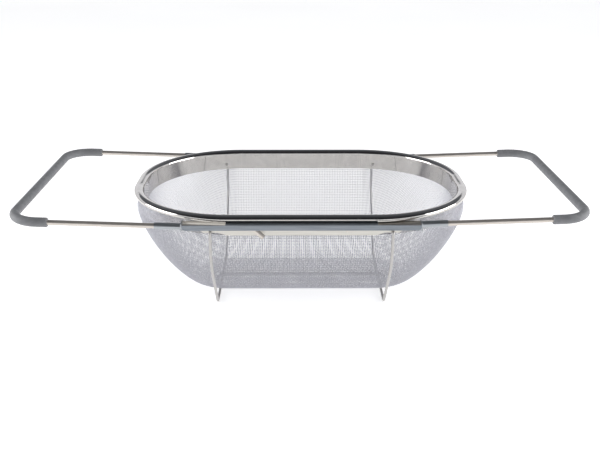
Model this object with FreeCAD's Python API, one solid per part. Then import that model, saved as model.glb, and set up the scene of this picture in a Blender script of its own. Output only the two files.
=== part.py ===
import FreeCAD, Part
import math
import os

# Over-the-sink oval basket strainer with two sliding handles, in millimetres.
# +X runs along the basket, -Y is the front, +Z is up.
# The origin is the middle of the basket in plan, on the plane that the feet stand on.

# Oval rim
rim_length = 350.0            # outside of the rolled rim, along X
rim_width = 236.8             # outside of the rolled rim, along Y
rim_end_straight = 24.8       # straight stretch at each rounded end
bead_width = 10.1             # rolled edge, across
bead_height = 7.3             # rolled edge, up and down
band_sheet = 0.7              # sheet thickness of the rolled rim and its skirt
band_height = 22.0            # top of the rim to the lower edge of the skirt
core_wire_dia = 4.0           # stiffening wire inside the rolled edge

# Woven basket, as a closed shell of the cloth's thickness
basket_depth = 111.0          # top of the rim to the underside of the floor
cloth_thickness = 1.0
cloth_tuck = 3.9              # top of the rim to the cloth's edge inside the roll
end_run = 60.0                # how far each end wall curves in on its way down
side_run = 69.0               # how far each side wall curves in on its way down
end_bulge = 6.4               # how far the end walls stand out below the rim
wall_roundness = 1.35         # exponent of the wall's curve, 2 is an ellipse
neck_levels = (10.0, 18.0)    # below the rim: the cloth starts and ends its bulge
wall_steps = 12               # sections between the bulge and the floor

# Sliding handles
rod_dia = 5.0
rod_tilt = 2.0                # degrees that the rods rise towards the grips
handle_reach = 281.5          # middle of the basket to the outside of the grip, drawn out
handle_bend = 27.0            # centre line radius at the corners of each handle
grip_dia = 9.2
grip_leg = 42.5               # how far each grip reaches back along its rods
grip_fit = 0.02               # radial gap between the grip's bore and the rod
grip_edge = 1.15              # rounding of the grip's cut ends
inner_end = 46.0              # middle of the basket to the hooked end of each rod
hook_angle = 40.0             # degrees that the rod's end turns down
hook_bend = 5.0
left_hook_tail = 13.0
right_hook_tail = 5.5
lug_length = 3.0              # lug under each rod that stops it at its sleeve
lug_width = 2.0
lug_drop = 3.7                # rod's axis to the lug's lower edge
lug_corner = 0.8

# Rails under the two long sides of the rim
lane_gap = 0.4                # free space on each side of a rod inside the rail
ceiling_gap = 0.45            # free space above a rod where the rail's roof ends
rail_sheet = 0.8
roof_sheet = 0.7
roof_half = 72.0              # half-length of the rail's roof
rail_half = 113.0             # half-length of the rail
rail_height = 5.2             # visible front of the rail, up and down
rail_corner = 3.0
tongue_half = 72.0            # half-length of the plate's lowest edge
tongue_slope_half = 80.0      # half-length where the plate's slanted ends stop
leg_ear_half = 94.0           # half-length of the plate at the leg's pins
leg_ear_slope_half = 100.0
leg_ear_margin = 1.0          # sheet left under a leg's pin

# Flanged sleeves at the ends of the rails
sleeve_fit = 0.08             # radial gap between rod and sleeve
sleeve_wall = 0.7
sleeve_length = 26.0          # flange and tube together
sleeve_flange = 1.0
sleeve_flange_over = 3.6      # flange above and below the rod's axis
stop_gap = 0.4                # lug to flange with the handle drawn out

# Wire legs
leg_wire_dia = 3.0
leg_half_spacing = 87.5
leg_knee_drop = 51.5          # top of the rim to where each leg turns in under the basket
leg_foot_half = 61.5          # middle of the basket to the foot's corner, along Y
leg_knee_bend = 60.0
leg_foot_bend = 8.0
leg_pin_bend = 3.0            # also how far each leg hangs clear of its plate
leg_pin_fit = 0.05            # radial gap around the leg's pin
leg_pin_gap = 1.0             # leg's pin to the lug of the rod above it
leg_pin_proud = 1.6           # pin inside the skirt
tie_wire_dia = 3.5
tie_overhang = 1.5            # tie wire past each leg's outer side

# Worked out from the sizes above
rod_radius = rod_dia / 2
leg_radius = leg_wire_dia / 2
tilt = math.radians(rod_tilt)
floor_z = leg_wire_dia + tie_wire_dia
rim_top = floor_z + basket_depth
bead_bottom = rim_top - bead_height
band_bottom = rim_top - band_height
rim_corner = (rim_width - rim_end_straight) / 2
cloth_inset = bead_width - band_sheet - cloth_thickness
cloth_face = rim_width / 2 - cloth_inset
plate_face = cloth_face + rail_sheet
inner_lane = plate_face + lane_gap + rod_radius
outer_lane = inner_lane + rod_dia + lane_gap
web_inside = outer_lane + rod_radius + lane_gap
web_face = web_inside + rail_sheet
ceiling_z = bead_bottom - roof_sheet


def rod_z(x):
    """Height of a rod's centre line at distance x from the middle."""
    return ceiling_z - ceiling_gap - rod_radius + (x - roof_half) * math.tan(tilt)


leg_pin_z = rod_z(leg_half_spacing) - lug_drop - leg_pin_gap - leg_radius
leg_knee_z = rim_top - leg_knee_drop


def vec(x, y, z):
    return FreeCAD.Vector(x, y, z)


def oval(half_length, half_width, corner, z):
    """Closed wire of a rectangle with rounded corners, starting at the middle of the front."""
    x = half_length - corner
    y = half_width - corner
    edges = [Part.makeLine(vec(0, -half_width, z), vec(x, -half_width, z))]
    d = corner * math.sqrt(0.5)
    stops = [
        (vec(x, -half_width, z), vec(x + d, -y - d, z), vec(half_length, -y, z)),
        (vec(half_length, y, z), vec(x + d, y + d, z), vec(x, half_width, z)),
        (vec(-x, half_width, z), vec(-x - d, y + d, z), vec(-half_length, y, z)),
        (vec(-half_length, -y, z), vec(-x - d, -y - d, z), vec(-x, -half_width, z)),
    ]
    for i, (start, middle, end) in enumerate(stops):
        if i:
            edges.append(Part.makeLine(stops[i - 1][2], start))
        edges.append(Part.Arc(start, middle, end).toShape())
    edges.append(Part.makeLine(stops[-1][2], vec(0, -half_width, z)))
    return Part.Wire(edges)


def rim_oval(inset, z):
    """The rim's outline moved in by inset."""
    return oval(rim_length / 2 - inset, rim_width / 2 - inset, rim_corner - inset, z)


def around_rim(section):
    """Solid that a closed section at the middle of the front makes along the rim."""
    path = rim_oval(bead_width / 2, rim_top)
    return path.makePipeShell([section], True, False)


def ellipse_section(inset, z, half_width, half_height):
    """Closed ellipse in the section plane, its centre inset from the rim's outside."""
    y = inset - rim_width / 2
    if half_width > half_height:
        curve = Part.Ellipse(vec(0, y + half_width, z), vec(0, y, z + half_height), vec(0, y, z))
    else:
        curve = Part.Circle(vec(0, y, z), vec(1, 0, 0), half_width)
    return Part.Wire([curve.toShape()])


def box_section(inset_from, inset_to, z_low, z_high):
    """Closed rectangle in the section plane between two insets and two heights."""
    y_from = inset_from - rim_width / 2
    y_to = inset_to - rim_width / 2
    corners = [(y_from, z_low), (y_to, z_low), (y_to, z_high), (y_from, z_high), (y_from, z_low)]
    return Part.makePolygon([vec(0, y, z) for y, z in corners])


def bent_path(points, bends):
    """Wire through the points, with each inner corner rounded by its bend radius."""
    edges = []
    start = points[0]
    for before, corner, after, bend in zip(points, points[1:], points[2:], bends):
        inward = (before - corner).normalize()
        outward = (after - corner).normalize()
        half = inward.getAngle(outward) / 2
        reach = bend / math.tan(half)
        middle = (inward + outward).normalize() * (bend / math.sin(half) - bend)
        edges.append(Part.makeLine(start, corner + inward * reach))
        arc = Part.Arc(corner + inward * reach, corner + middle, corner + outward * reach)
        edges.append(arc.toShape())
        start = corner + outward * reach
    edges.append(Part.makeLine(start, points[-1]))
    return Part.Wire(edges)


def round_bar(path, radius):
    """Bar of round section along a path."""
    first = path.Edges[0]
    start = first.valueAt(first.FirstParameter)
    along = first.tangentAt(first.FirstParameter)
    ring = Part.Wire([Part.Circle(start, along, radius).toShape()])
    return path.makePipeShell([ring], True, False)


def box(x_from, x_to, y_from, y_to, z_from, z_to):
    low = vec(min(x_from, x_to), min(y_from, y_to), min(z_from, z_to))
    return Part.makeBox(abs(x_to - x_from), abs(y_to - y_from), abs(z_to - z_from), low)


def wall_curve(depth, run, floor):
    """How far the wall has curved in at a depth below the rim's top."""
    share = min(max((depth - band_height) / (floor - band_height), 0.0), 1.0)
    rest = 1 - share ** wall_roundness
    return run * (1 - rest ** (1 / wall_roundness))


def basket_surface(skin):
    """Solid bounded by the cloth's face that lies skin inside its outer face."""
    floor = basket_depth - skin
    bulge_from, bulge_to = neck_levels
    steps = [math.sin(math.pi / 2 * i / wall_steps) for i in range(wall_steps + 1)]
    levels = [cloth_tuck, bulge_from, bulge_to]
    levels += [band_height + (floor - band_height) * s for s in steps]
    rings = []
    for depth in levels:
        bulge = end_bulge if depth >= bulge_to else 0.0
        end_in = cloth_inset + skin - bulge + wall_curve(depth, end_run, floor)
        side_in = cloth_inset + skin + wall_curve(depth, side_run, floor)
        half_width = rim_width / 2 - side_in
        corner = half_width - rim_end_straight / 2
        rings.append(oval(rim_length / 2 - end_in, half_width, corner, rim_top - depth))
    return Part.makeLoft(rings, True, True)


def leg_pin_holes(radius):
    """Four round bars along Y where the legs' pins pass through the walls."""
    length = 2 * web_face
    bars = []
    for x in (-leg_half_spacing, leg_half_spacing):
        bars.append(Part.makeCylinder(radius, length, vec(x, -web_face, leg_pin_z), vec(0, 1, 0)))
    return bars


def make_mesh_basket():
    basket = basket_surface(0.0).cut(basket_surface(cloth_thickness))
    return basket.cut(leg_pin_holes(leg_radius + leg_pin_fit))


def make_rim_band():
    """Skirt and rolled edge of one sheet, with a slot for the edge of the cloth."""
    middle_z = rim_top - bead_height / 2
    half_width = bead_width / 2
    half_height = bead_height / 2
    outside = around_rim(ellipse_section(half_width, middle_z, half_width, half_height))
    hollow = around_rim(ellipse_section(half_width, middle_z, half_width - band_sheet,
                                        half_height - band_sheet))
    skirt = around_rim(box_section(bead_width - band_sheet, bead_width, band_bottom, middle_z))
    band = outside.fuse(skirt).cut(hollow)
    slot = around_rim(box_section(cloth_inset, cloth_inset + cloth_thickness,
                                  band_bottom, rim_top - cloth_tuck))
    return band.cut(slot).cut(leg_pin_holes(leg_radius + leg_pin_fit))


def make_core_wire():
    radius = core_wire_dia / 2
    z = bead_bottom + band_sheet + radius
    return around_rim(ellipse_section(bead_width / 2, z, radius, radius))


def make_rail_channel(side):
    """Front and roof of the rail on one long side, side -1 for the front."""
    web = box(-rail_half, rail_half, side * web_inside, side * web_face,
              bead_bottom - rail_height, bead_bottom)
    low_corners = [e for e in web.Edges
                   if e.BoundBox.YLength > rail_sheet / 2 and e.BoundBox.ZMax < ceiling_z]
    web = web.makeFillet(rail_corner, low_corners)
    roof = box(-roof_half, roof_half, side * plate_face, side * web_face, ceiling_z, bead_bottom)
    return web.fuse(roof).removeSplitter()


def make_mount_plate(side):
    """Flat plate between the cloth and the rods, with the legs' pin holes."""
    wing_z = leg_pin_z - leg_radius - leg_pin_fit - leg_ear_margin
    end_z = rod_z(rail_half + sleeve_flange / 2) - sleeve_flange_over
    half = [(tongue_half, band_bottom), (tongue_slope_half, wing_z), (leg_ear_half, wing_z),
            (leg_ear_slope_half, end_z), (rail_half, end_z), (rail_half, bead_bottom)]
    outline = half + [(-x, z) for x, z in reversed(half)]
    corners = [vec(x, side * cloth_face, z) for x, z in outline]
    sheet = Part.Face(Part.makePolygon(corners + corners[:1]))
    plate = sheet.extrude(vec(0, side * rail_sheet, 0))
    return plate.cut(leg_pin_holes(leg_radius + leg_pin_fit))


def slide_frame(shape, end):
    """Turn a handle drawn flat along +X into its tilted place, end -1 for the left."""
    shape = shape.copy()
    shape.rotate(vec(0, 0, 0), vec(0, 1, 0), -rod_tilt)
    shape.translate(vec(0, 0, rod_z(0)))
    if end < 0:
        shape = shape.mirror(vec(0, 0, 0), vec(1, 0, 0))
    return shape


def lane(end):
    """Distance of a handle's rods from the middle: the left handle is the wider one."""
    return outer_lane if end < 0 else inner_lane


def make_sleeve(end, side):
    """Flange across the end of the rail and the tube that guides one rod."""
    y = side * lane(end)
    z = rod_z(rail_half + sleeve_flange / 2)
    flange = box(end * rail_half, end * (rail_half + sleeve_flange), side * cloth_face,
                 side * web_face, z - sleeve_flange_over, z + sleeve_flange_over)
    bore = rod_radius + sleeve_fit
    start = vec(rail_half, y, 0)
    tube = Part.makeCylinder(bore + sleeve_wall, sleeve_length, start, vec(1, 0, 0))
    before = start - vec(sleeve_length, 0, 0)
    past_both_ends = 3 * sleeve_length
    hole = Part.makeCylinder(bore, past_both_ends, before, vec(1, 0, 0))
    mouth = box(end * (rail_half - rail_sheet), end * rail_half, side * cloth_face,
                side * web_face, 0, rim_top)
    return flange.fuse(slide_frame(tube, end)).cut(slide_frame(hole, end)).cut(mouth)


def handle_path(end, tail):
    """Centre line of a handle drawn flat: hook, rod, bend, cross bar, bend, rod, hook."""
    y = lane(end)
    bar = handle_reach - grip_dia / 2
    down = math.radians(hook_angle)
    tip_x = inner_end - tail * math.cos(down)
    tip_z = -tail * math.sin(down)
    points = [vec(tip_x, -y, tip_z), vec(inner_end, -y, 0), vec(bar, -y, 0),
              vec(bar, y, 0), vec(inner_end, y, 0), vec(tip_x, y, tip_z)]
    return bent_path(points, [hook_bend, handle_bend, handle_bend, hook_bend])


def make_handle_rod(end, tail):
    rod = round_bar(handle_path(end, tail), rod_radius)
    lug_x = rail_half - stop_gap - lug_length
    lugs = []
    for side in (-1, 1):
        y = side * lane(end)
        lug = box(lug_x, lug_x + lug_length, y - lug_width / 2, y + lug_width / 2, -lug_drop, 0)
        low_edges = [e for e in lug.Edges
                     if e.BoundBox.ZMax < -rod_radius and e.BoundBox.YLength > lug_width / 2]
        lugs.append(lug.makeFillet(lug_corner, low_edges))
    return slide_frame(rod.fuse(lugs), end)


def make_grip(end):
    """Soft tube over the whole outer end of a handle."""
    y = lane(end)
    bar = handle_reach - grip_dia / 2
    back = handle_reach - grip_leg
    points = [vec(back, -y, 0), vec(bar, -y, 0), vec(bar, y, 0), vec(back, y, 0)]
    path = bent_path(points, [handle_bend, handle_bend])
    tube = round_bar(path, grip_dia / 2)
    ends = [e for e in tube.Edges if e.BoundBox.XMax < back + grip_edge]
    tube = tube.makeFillet(grip_edge, ends)
    return slide_frame(tube.cut(round_bar(path, rod_radius + grip_fit)), end)


def make_leg(end):
    """One wire from pin to pin, down the front, along the ground and up the back."""
    x = end * leg_half_spacing
    out = plate_face + leg_pin_bend
    along = leg_half_spacing - (rim_length / 2 - rim_corner)
    skirt_corner = rim_corner - bead_width
    skirt_y = rim_end_straight / 2 + math.sqrt(skirt_corner ** 2 - along ** 2)
    inner = skirt_y - leg_pin_proud
    front = [vec(x, -inner, leg_pin_z), vec(x, -out, leg_pin_z), vec(x, -out, leg_knee_z),
             vec(x, -leg_foot_half, leg_radius)]
    back = [vec(p.x, -p.y, p.z) for p in reversed(front)]
    bends = [leg_pin_bend, leg_knee_bend, leg_foot_bend]
    return round_bar(bent_path(front + back, bends + bends[::-1]), leg_radius)


def make_tie_wire():
    radius = tie_wire_dia / 2
    half = leg_half_spacing + leg_radius + tie_overhang
    return Part.makeCylinder(radius, 2 * half, vec(-half, 0, leg_wire_dia + radius), vec(1, 0, 0))


def make_parts():
    parts = {}
    parts["mesh_basket"] = make_mesh_basket()
    parts["rim_band"] = make_rim_band()
    parts["rim_core_wire"] = make_core_wire()
    for side, side_name in ((-1, "front"), (1, "back")):
        parts[side_name + "_rail_channel"] = make_rail_channel(side)
        parts[side_name + "_mount_plate"] = make_mount_plate(side)
        for end, end_name in ((-1, "left"), (1, "right")):
            parts[side_name + "_" + end_name + "_sleeve"] = make_sleeve(end, side)
    for end, end_name, tail in ((-1, "left", left_hook_tail), (1, "right", right_hook_tail)):
        parts[end_name + "_handle_rod"] = make_handle_rod(end, tail)
        parts[end_name + "_grip"] = make_grip(end)
        parts[end_name + "_leg_wire"] = make_leg(end)
    parts["leg_tie_wire"] = make_tie_wire()
    return parts


os.makedirs("parts", exist_ok=True)
for name, shape in make_parts().items():
    shape.exportStep("parts/" + name + ".step")
    bounds = shape.BoundBox
    print(name, len(shape.Solids), shape.isValid(), round(shape.Volume, 1),
          [round(v, 2) for v in (bounds.XMin, bounds.XMax, bounds.YMin, bounds.YMax,
                                 bounds.ZMin, bounds.ZMax)])
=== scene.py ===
import math

import bpy
import numpy as np
from mathutils import Euler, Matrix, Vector


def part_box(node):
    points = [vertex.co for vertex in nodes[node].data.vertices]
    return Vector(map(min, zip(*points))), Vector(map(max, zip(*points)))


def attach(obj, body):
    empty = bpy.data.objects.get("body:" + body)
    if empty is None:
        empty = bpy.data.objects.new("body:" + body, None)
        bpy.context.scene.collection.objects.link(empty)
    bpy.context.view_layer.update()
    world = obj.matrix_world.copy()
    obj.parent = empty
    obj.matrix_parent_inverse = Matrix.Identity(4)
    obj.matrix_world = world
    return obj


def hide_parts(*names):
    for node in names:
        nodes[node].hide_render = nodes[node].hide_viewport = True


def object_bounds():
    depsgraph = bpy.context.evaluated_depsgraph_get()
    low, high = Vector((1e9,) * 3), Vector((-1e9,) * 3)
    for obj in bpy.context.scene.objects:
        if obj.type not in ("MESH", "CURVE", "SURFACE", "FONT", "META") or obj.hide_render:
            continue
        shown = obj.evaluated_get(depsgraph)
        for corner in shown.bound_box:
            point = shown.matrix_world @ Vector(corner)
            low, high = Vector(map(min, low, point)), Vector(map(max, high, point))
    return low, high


# Over-the-sink basket strainer: a polished rim, a woven wire basket, wire legs
# and two sliding wire handles with soft grips. The scene is in metres, and the woven
# cloth is worked out in millimetres.

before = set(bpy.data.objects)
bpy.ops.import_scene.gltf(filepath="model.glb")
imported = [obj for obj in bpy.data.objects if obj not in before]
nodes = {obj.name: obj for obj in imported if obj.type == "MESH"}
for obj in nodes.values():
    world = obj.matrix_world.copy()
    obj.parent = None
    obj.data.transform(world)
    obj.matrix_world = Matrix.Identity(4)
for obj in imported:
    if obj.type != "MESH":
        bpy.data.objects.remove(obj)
cad_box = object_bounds()
MM = 0.001

# Studio. Lengths are in metres, and the walls' heights are shares of the sky's radius.
FLOOR_HALF_SIZE = 20.0
FLOOR_GLOW = 0.57             # the white floor is lit from beneath, as on a light table
WALL_TOP = (0.02, 0.10)       # in front, the bright wall fades out between these heights
SIDE_WALL_RISE = 0.45         # how much higher it reaches at the sides
BACK_WALL_RISE = 0.32         # and behind
SOFT_BOX_OUT = 1.5            # each soft box to the middle of the strainer
SOFT_BOX_FORWARD = 0.1
SOFT_BOX_HEIGHT = 0.40
SOFT_BOX_SIZE = (1.2, 0.7)
SOFT_BOX_WATTS = 13
SOFT_BOX_AIM = (0, 0, 0.05)
OVERHEAD_STRENGTH = 0.95
OVERHEAD_SPREAD = 90          # degrees


# ---------------------------------------------------------------- colours and nodes

def srgb(hex_colour):
    """Linear RGBA of an sRGB hex colour."""
    channels = [int(hex_colour[i:i + 2], 16) / 255 for i in (1, 3, 5)]
    linear = [c / 12.92 if c <= 0.04045 else ((c + 0.055) / 1.055) ** 2.4 for c in channels]
    return (*linear, 1.0)


def add(tree, kind, settings=None, **inputs):
    """Add one node. A tuple (node, output) makes a link, any other value is set on the socket."""
    node = tree.nodes.new(kind)
    for name, value in (settings or {}).items():
        setattr(node, name, value)
    for name, value in inputs.items():
        socket = node.inputs[name.replace("_", " ")]
        if isinstance(value, tuple) and isinstance(value[0], bpy.types.Node):
            tree.links.new(value[0].outputs[value[1]], socket)
        else:
            socket.default_value = value
    return node


def new_material(name):
    """Empty material, its node tree and its place coordinates in metres."""
    material = bpy.data.materials.new(name)
    material.use_nodes = True
    tree = material.node_tree
    tree.nodes.clear()
    place = add(tree, "ShaderNodeTexCoord")
    return material, tree, (place, "Object")


def colour_ramp(tree, factor, stops):
    """Ramp through (position, hex colour) stops."""
    ramp = add(tree, "ShaderNodeValToRGB", Fac=factor)
    points = ramp.color_ramp.elements
    while len(points) < len(stops):
        points.new(0.5)
    for point, (position, colour) in zip(points, stops):
        point.position = position
        point.color = srgb(colour)
    return ramp, "Color"


def maths(tree, operation, *values):
    """Result of one maths node on numbers or (node, output) pairs."""
    node = add(tree, "ShaderNodeMath", {"operation": operation})
    for socket, value in zip(node.inputs, values):
        if isinstance(value, tuple):
            tree.links.new(value[0].outputs[value[1]], socket)
        else:
            socket.default_value = value
    return node, "Value"


def finish_surface(material, tree, **inputs):
    """Principled shader with these inputs, on the material's output."""
    shader = add(tree, "ShaderNodeBsdfPrincipled", **inputs)
    add(tree, "ShaderNodeOutputMaterial", Surface=(shader, "BSDF"))
    return material


# ---------------------------------------------------------------- materials

def polished_stainless():
    # 18/8 stainless sheet, rolled and buffed: mirror reflections, faintly wavy, with soft
    # cloudy marks that the buffing wheel leaves.
    material, tree, place = new_material("polished_stainless_steel")
    waves = add(tree, "ShaderNodeTexNoise", Vector=place, Scale=1 / (30 * MM), Detail=2.0)
    clouds = add(tree, "ShaderNodeTexNoise", Vector=place, Scale=1 / (6 * MM), Detail=4.0)
    tone = colour_ramp(tree, (clouds, "Fac"), [(0.35, "#c9c6c2"), (0.65, "#d2cfcb")])
    rough = add(tree, "ShaderNodeMapRange", Value=(clouds, "Fac"), To_Min=0.02, To_Max=0.05)
    bump = add(tree, "ShaderNodeBump", Height=(waves, "Fac"), Strength=0.06, Distance=0.3 * MM)
    return finish_surface(material, tree, Base_Color=tone, Metallic=1.0,
                          Roughness=(rough, "Result"), Normal=(bump, "Normal"))


def drawn_wire(name, low, high, rough_low, rough_high, along):
    # Stainless wire pulled through a die: bright, with hair lines that run along it.
    # The real lines are well under 0.1 mm wide; they are drawn at 0.35 mm so that they show.
    material, tree, place = new_material(name)
    line_width, line_length = 0.35 * MM, 14 * MM
    grain = tuple(1 / (line_length if axis == along else line_width) for axis in "xyz")
    stretched = add(tree, "ShaderNodeMapping", Vector=place, Scale=grain)
    lines = add(tree, "ShaderNodeTexNoise", Vector=(stretched, "Vector"), Scale=1.0, Detail=3.0)
    tone = colour_ramp(tree, (lines, "Fac"), [(0.3, low), (0.7, high)])
    rough = add(tree, "ShaderNodeMapRange", Value=(lines, "Fac"),
                To_Min=rough_low, To_Max=rough_high)
    bump = add(tree, "ShaderNodeBump", Height=(lines, "Fac"), Strength=0.15, Distance=0.05 * MM)
    return finish_surface(material, tree, Base_Color=tone, Metallic=0.8,
                          Roughness=(rough, "Result"), Normal=(bump, "Normal"))


def brushed_sheet(name, low, high, rough_low=0.24, rough_high=0.38, metallic=0.85):
    # Stainless sheet brushed along its length: satin, with long fine scratches.
    # The real scratches are under 0.1 mm wide; they are drawn at 0.5 mm so that they show.
    material, tree, place = new_material(name)
    scratch_length, scratch_width = 25 * MM, 0.5 * MM
    grain = (1 / scratch_length, 1 / scratch_width, 1 / scratch_width)
    stretched = add(tree, "ShaderNodeMapping", Vector=place, Scale=grain)
    lines = add(tree, "ShaderNodeTexNoise", Vector=(stretched, "Vector"), Scale=1.0, Detail=3.0)
    tone = colour_ramp(tree, (lines, "Fac"), [(0.3, low), (0.7, high)])
    rough = add(tree, "ShaderNodeMapRange", Value=(lines, "Fac"),
                To_Min=rough_low, To_Max=rough_high)
    bump = add(tree, "ShaderNodeBump", Height=(lines, "Fac"), Strength=0.15, Distance=0.05 * MM)
    return finish_surface(material, tree, Base_Color=tone, Metallic=metallic,
                          Roughness=(rough, "Result"), Normal=(bump, "Normal"))


def woven_steel():
    # Annealed stainless cloth wire: whitish and satin, its tone changing along each strand.
    material, tree, place = new_material("woven_stainless_cloth")
    strands = add(tree, "ShaderNodeTexNoise", Vector=place, Scale=1 / (2.5 * MM), Detail=2.0)
    tone = colour_ramp(tree, (strands, "Fac"), [(0.3, "#c5c5cc"), (0.7, "#dddde3")])
    rough = add(tree, "ShaderNodeMapRange", Value=(strands, "Fac"), To_Min=0.30, To_Max=0.42)
    return finish_surface(material, tree, Base_Color=tone, Metallic=0.7,
                          Roughness=(rough, "Result"))


def grip_rubber():
    # Extruded thermoplastic rubber tube: dull mid grey with a fine grain, drawn a little
    # coarser than it is so that it shows, and faint drag streaks from the die.
    material, tree, place = new_material("matt_grey_rubber")
    grain = add(tree, "ShaderNodeTexNoise", Vector=place, Scale=1 / (0.5 * MM), Detail=3.0)
    streaks = add(tree, "ShaderNodeTexNoise", Vector=place, Scale=1 / (7 * MM), Detail=3.0)
    tone = colour_ramp(tree, (streaks, "Fac"), [(0.3, "#76777a"), (0.7, "#858688")])
    rough = add(tree, "ShaderNodeMapRange", Value=(grain, "Fac"), To_Min=0.55, To_Max=0.75)
    bump = add(tree, "ShaderNodeBump", Height=(grain, "Fac"), Strength=0.35, Distance=0.06 * MM)
    return finish_surface(material, tree, Base_Color=tone, IOR=1.5,
                          Roughness=(rough, "Result"), Normal=(bump, "Normal"))


def floor_paint():
    # Matt white paint on a studio floor, with faint patches half a metre across.
    material, tree, place = new_material("matt_white_floor")
    patches = add(tree, "ShaderNodeTexNoise", Vector=place, Scale=1 / (500 * MM), Detail=2.0)
    tone = colour_ramp(tree, (patches, "Fac"), [(0.3, "#f6f6f6"), (0.7, "#f9f9f9")])
    return finish_surface(material, tree, Base_Color=tone, Roughness=0.9,
                          Emission_Color=tone, Emission_Strength=FLOOR_GLOW)


def dress(node_names, material):
    """Give CAD nodes one material."""
    for name in node_names:
        slots = nodes[name].data.materials
        slots.clear()
        slots.append(material)


# ---------------------------------------------------------------- woven basket

# In millimetres. The cloth's real pitch is about 1.2; it is woven coarser so that it shows.
WEAVE_PITCH = 2.0
WEAVE_WIRE = 0.54             # diameter of the cloth's wire
CLOTH_MIDDLE = 0.5            # the cloth's outer face to its middle surface
PLAN_X = 75.4                 # half of the straight stretch along each long side
PLAN_Y = 12.4                 # half of the straight stretch across each end
WALL_ROUNDNESS = 1.35         # power of the walls' curve: 1 is a slope, 2 an ellipse
BAND_HEIGHT = 22.0            # top of the rim to the level where the walls turn in
NECK_LEVELS = (10.0, 18.0)    # between them the end walls step out to their bulge
END_BULGE = 6.4
SIDE_RUN = 69.0               # how far a side wall comes in on its way down to the floor
END_RUN = 60.0                # and an end wall
CLOTH_TOP = 4.3               # top of the rim to the cloth's edge inside the roll
PROFILE_STEPS = 60
CLOTH_REACH = 400.0           # farther than the flat cloth goes from its middle
STRAND_COUNT = int(CLOTH_REACH / WEAVE_PITCH)
FEWEST_CROSSINGS = 4          # a strand with fewer is left out
NORMAL_STEP = 0.4             # half of the distance that a normal is measured over


def basket_profiles():
    """Distance out and height, from the floor's edge to the cloth's top, for a side and an end."""
    low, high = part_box("mesh_basket")
    floor_z = low.z / MM + CLOTH_MIDDLE
    rim_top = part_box("rim_band")[1].z / MM
    depth_span = rim_top - floor_z - BAND_HEIGHT
    wall_y = high.y / MM - CLOTH_MIDDLE - PLAN_Y
    wall_x = high.x / MM - CLOTH_MIDDLE - PLAN_X
    shares = np.sin(np.linspace(np.pi / 2, 0, PROFILE_STEPS))
    inward = 1 - (1 - shares ** WALL_ROUNDNESS) ** (1 / WALL_ROUNDNESS)
    depth = BAND_HEIGHT + depth_span * shares
    neck = [NECK_LEVELS[1], NECK_LEVELS[0], CLOTH_TOP]
    side = np.append(wall_y - SIDE_RUN * inward, [wall_y] * 3)
    end = np.append(wall_x - END_RUN * inward,
                    [wall_x, wall_x - END_BULGE, wall_x - END_BULGE])
    height = rim_top - np.append(depth, neck)
    return side, end, height


def by_length(out, height):
    """Share of the profile's length at each of its points, and the whole length."""
    run = np.concatenate([[0], np.cumsum(np.hypot(np.diff(out), np.diff(height)))])
    return run / run[-1], run[-1]


side_out, end_out, wall_height = basket_profiles()
side_share, side_length = by_length(side_out, wall_height)
end_share, end_length = by_length(end_out, wall_height)


def cloth_point(s, t):
    """Place in space of points (s, t) of the flat cloth, in mm, and their share up the wall."""
    core_x = np.clip(s, -PLAN_X, PLAN_X)
    core_y = np.clip(t, -PLAN_Y, PLAN_Y)
    dx, dy = s - core_x, t - core_y
    flat = np.hypot(dx, dy)
    safe = np.maximum(flat, 1e-9)
    nx, ny = dx / safe, dy / safe
    endness = nx ** 2
    edge = endness * end_out[0] + (1 - endness) * side_out[0]
    length = endness * end_length + (1 - endness) * side_length
    share = (flat - edge) / length
    up = np.clip(share, 0, 1)
    out = (endness * np.interp(up, end_share, end_out)
           + (1 - endness) * np.interp(up, side_share, side_out))
    z = (endness * np.interp(up, end_share, wall_height)
         + (1 - endness) * np.interp(up, side_share, wall_height))
    out = np.where(share <= 0, flat, out)
    return np.stack([core_x + nx * out, core_y + ny * out, z], -1), share


def cloth_normal(s, t):
    """Unit normal of the cloth at (s, t), towards the inside of the basket."""
    ds = cloth_point(s + NORMAL_STEP, t)[0] - cloth_point(s - NORMAL_STEP, t)[0]
    dt = cloth_point(s, t + NORMAL_STEP)[0] - cloth_point(s, t - NORMAL_STEP)[0]
    normal = np.cross(ds, dt)
    return normal / np.linalg.norm(normal, axis=-1, keepdims=True)


def strand_line(fixed, index, lengthwise):
    """Centre line of one strand, over and under the strands that cross it."""
    steps = np.arange(-STRAND_COUNT, STRAND_COUNT + 1)
    run = steps * WEAVE_PITCH
    across = np.full_like(run, fixed)
    s, t = (run, across) if lengthwise else (across, run)
    share = cloth_point(s, t)[1]
    inside = np.flatnonzero(share <= 1)
    if len(inside) < FEWEST_CROSSINGS:
        return None
    first, last = inside[0], inside[-1]
    start_cut = (1 - share[first]) / (share[first - 1] - share[first])
    end_cut = (1 - share[last]) / (share[last + 1] - share[last])
    places = np.concatenate([[run[first] - start_cut * WEAVE_PITCH], run[first:last + 1],
                             [run[last] + end_cut * WEAVE_PITCH]])
    side = (-1.0) ** (steps[first:last + 1] + index + (0 if lengthwise else 1))
    lift = np.concatenate([[0], side, [0]]) * WEAVE_WIRE / 2
    across = np.full_like(places, fixed)
    s, t = (places, across) if lengthwise else (across, places)
    point = cloth_point(s, t)[0]
    normal = cloth_normal(s, t)
    return point + normal * lift[:, None], normal


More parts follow.
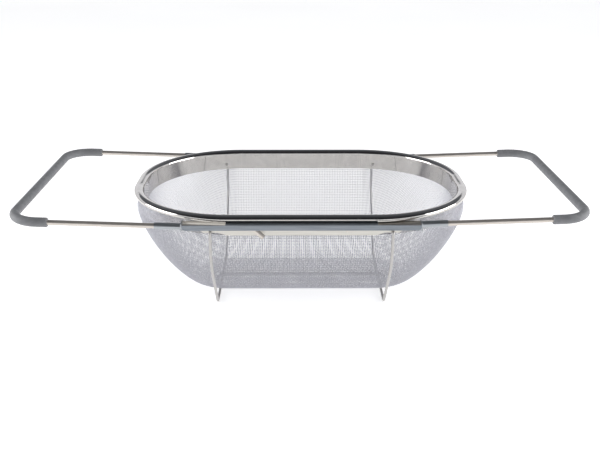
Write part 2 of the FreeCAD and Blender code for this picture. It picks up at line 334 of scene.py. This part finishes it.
def strand_mesh(lines):
    """Vertices and faces of four-sided tubes along (points, normals) lines, in mm."""
    vertices, faces = [], []
    count = 0
    for points, normals in lines:
        along = np.gradient(points, axis=0)
        along /= np.linalg.norm(along, axis=1, keepdims=True)
        sideways = np.cross(along, normals)
        sideways /= np.linalg.norm(sideways, axis=1, keepdims=True)
        up = np.cross(sideways, along)
        ring = [points + (up * a + sideways * b) * WEAVE_WIRE / 2
                for a, b in ((1, 0), (0, 1), (-1, 0), (0, -1))]
        vertices.append(np.stack(ring, 1).reshape(-1, 3))
        row = count + 4 * np.arange(len(points) - 1)[:, None]
        corner = np.arange(4)[None]
        after = (corner + 1) % 4
        quads = np.stack([row + corner, row + after, row + 4 + after, row + 4 + corner], -1)
        faces.append(quads.reshape(-1, 4))
        caps = np.array([[3, 2, 1, 0], [0, 1, 2, 3]])
        caps[1] += 4 * (len(points) - 1)
        faces.append(caps + count)
        count += 4 * len(points)
    return np.concatenate(vertices), np.concatenate(faces)


def mesh_object(name, vertices, faces, material):
    """Object of four-sided faces, from points in mm."""
    mesh = bpy.data.meshes.new(name)
    mesh.vertices.add(len(vertices))
    mesh.vertices.foreach_set("co", (vertices * MM).astype(np.float32).ravel())
    mesh.loops.add(faces.size)
    mesh.loops.foreach_set("vertex_index", faces.astype(np.int32).ravel())
    mesh.polygons.add(len(faces))
    mesh.polygons.foreach_set("loop_start", np.arange(len(faces), dtype=np.int32) * 4)
    mesh.update(calc_edges=True)
    mesh.validate()
    mesh.shade_smooth()
    mesh.materials.append(material)
    piece = bpy.data.objects.new(name, mesh)
    bpy.context.scene.collection.objects.link(piece)
    return piece


def weave_basket(material):
    """The basket's cloth, as its lengthwise and crosswise strands, half of each a piece."""
    for lengthwise, kind in ((True, "lengthwise"), (False, "crosswise")):
        halves = ("front", "back") if lengthwise else ("left", "right")
        for half, indices in zip(halves, (range(-STRAND_COUNT, 0), range(STRAND_COUNT + 1))):
            lines = [strand_line(i * WEAVE_PITCH, i, lengthwise) for i in indices]
            lines = [line for line in lines if line is not None]
            vertices, faces = strand_mesh(lines)
            piece = mesh_object(kind + "_strands_" + half, vertices, faces, material)
            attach(piece, "strainer")
            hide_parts("mesh_basket")


# ---------------------------------------------------------------- camera, floor and light

def place_camera():
    camera = bpy.data.objects.new("camera", bpy.data.cameras.new("camera"))
    camera.data.lens = 49.0
    camera.data.sensor_width = 36.0
    camera.data.clip_end = 50.0
    camera.location = Vector((-8.4, -838.0, 385.0)) * MM
    pitch, heading, roll = math.radians(20.975), math.radians(0.54), math.radians(0.11)
    turn = Euler((math.pi / 2 - pitch, 0, -heading)).to_matrix()
    camera.rotation_euler = (turn @ Euler((0, 0, roll)).to_matrix()).to_euler()
    bpy.context.scene.collection.objects.link(camera)
    bpy.context.scene.camera = camera


def lay_floor():
    size = FLOOR_HALF_SIZE
    corners = [(-size, -size), (size, -size), (size, size), (-size, size)]
    mesh = bpy.data.meshes.new("floor")
    mesh.from_pydata([(x, y, cad_box[0][2]) for x, y in corners], [], [(0, 1, 2, 3)])
    mesh.materials.append(floor_paint())
    floor = bpy.data.objects.new("floor", mesh)
    bpy.context.scene.collection.objects.link(floor)


def hang_soft_box(name, side):
    """Rectangular soft light beside the strainer: side is -1 on the left and 1 on the right."""
    light = bpy.data.lights.new(name, "AREA")
    light.shape = "RECTANGLE"
    light.size, light.size_y = SOFT_BOX_SIZE
    light.energy = SOFT_BOX_WATTS
    lamp = bpy.data.objects.new(name, light)
    lamp.location = (side * SOFT_BOX_OUT, -SOFT_BOX_FORWARD, SOFT_BOX_HEIGHT)
    lamp.visible_camera = False
    aim = Vector(SOFT_BOX_AIM) - lamp.location
    lamp.rotation_euler = aim.to_track_quat("-Z", "Y").to_euler()
    bpy.context.scene.collection.objects.link(lamp)


def hang_overhead_fill():
    """Light on the matt pieces from above, without a bright patch on the polished ones."""
    light = bpy.data.lights.new("overhead_fill", "SUN")
    light.energy = OVERHEAD_STRENGTH
    light.angle = math.radians(OVERHEAD_SPREAD)
    lamp = bpy.data.objects.new("overhead_fill", light)
    lamp.visible_glossy = False
    bpy.context.scene.collection.objects.link(lamp)


def raise_walls():
    """Bright walls all round, higher behind and at the sides, and a dark ceiling."""
    world = bpy.data.worlds.new("studio")
    bpy.context.scene.world = world
    world.use_nodes = True
    tree = world.node_tree
    tree.nodes.clear()
    place = add(tree, "ShaderNodeTexCoord")
    parts = add(tree, "ShaderNodeSeparateXYZ", Vector=(place, "Generated"))
    behind = maths(tree, "MAXIMUM", (parts, "Y"), 0.0)
    sides = maths(tree, "MULTIPLY", (parts, "X"), (parts, "X"))
    back = maths(tree, "MULTIPLY", behind, behind)
    height = maths(tree, "MULTIPLY_ADD", sides, -SIDE_WALL_RISE, (parts, "Z"))
    height = maths(tree, "MULTIPLY_ADD", back, -BACK_WALL_RISE, height)
    wall = add(tree, "ShaderNodeMapRange", {"interpolation_type": "SMOOTHSTEP"},
               Value=height, From_Min=WALL_TOP[0], From_Max=WALL_TOP[1], To_Min=1.0, To_Max=0.0)
    depth = add(tree, "ShaderNodeMapRange", Value=(parts, "Y"), From_Min=-1.0, From_Max=1.0)
    ceiling = colour_ramp(tree, (depth, "Result"), [(0.0, "#2a2b2e"), (0.45, "#3a3c40"),
                                                    (1.0, "#74777d")])
    # The colour sockets of this node share their names with others, so they go by number.
    shade = add(tree, "ShaderNodeMix", {"data_type": "RGBA"})
    tree.links.new(wall.outputs["Result"], shade.inputs["Factor"])
    tree.links.new(ceiling[0].outputs[ceiling[1]], shade.inputs[6])
    shade.inputs[7].default_value = srgb("#f4f5fa")
    sky = add(tree, "ShaderNodeBackground", Strength=1.0)
    tree.links.new(shade.outputs[2], sky.inputs["Color"])
    add(tree, "ShaderNodeOutputWorld", Surface=(sky, "Background"))


# ---------------------------------------------------------------- scene

place_camera()
lay_floor()
raise_walls()
hang_soft_box("left_soft_box", -1)
hang_soft_box("right_soft_box", 1)
hang_overhead_fill()

mirror = polished_stainless()
rod_steel = drawn_wire("drawn_stainless_rod", "#cac3bb", "#dcd5cd", 0.30, 0.42, "x")
leg_steel = drawn_wire("drawn_stainless_leg_wire", "#b0aeab", "#c6c4c2", 0.24, 0.34, "z")
rail_steel = brushed_sheet("brushed_stainless_rail", "#7c8289", "#989ea5", 0.36, 0.50, 0.55)
sleeve_steel = brushed_sheet("brushed_stainless_sleeve", "#a0a4a8", "#b6babe")
plate_steel = brushed_sheet("bright_rolled_plate", "#cac7c0", "#d8d5ce")
rubber = grip_rubber()
dress(["rim_band"], mirror)
dress(["rim_core_wire", "left_handle_rod", "right_handle_rod"], rod_steel)
dress([name for name in nodes if "rail" in name], rail_steel)
dress([name for name in nodes if "sleeve" in name], sleeve_steel)
dress([name for name in nodes if "plate" in name], plate_steel)
dress(["left_leg_wire", "right_leg_wire", "leg_tie_wire"], leg_steel)
dress(["left_grip", "right_grip"], rubber)
cloth = woven_steel()
dress(["mesh_basket"], cloth)
weave_basket(cloth)

# Plain display colours keep the white floor white.
bpy.context.scene.view_settings.view_transform = "Standard"
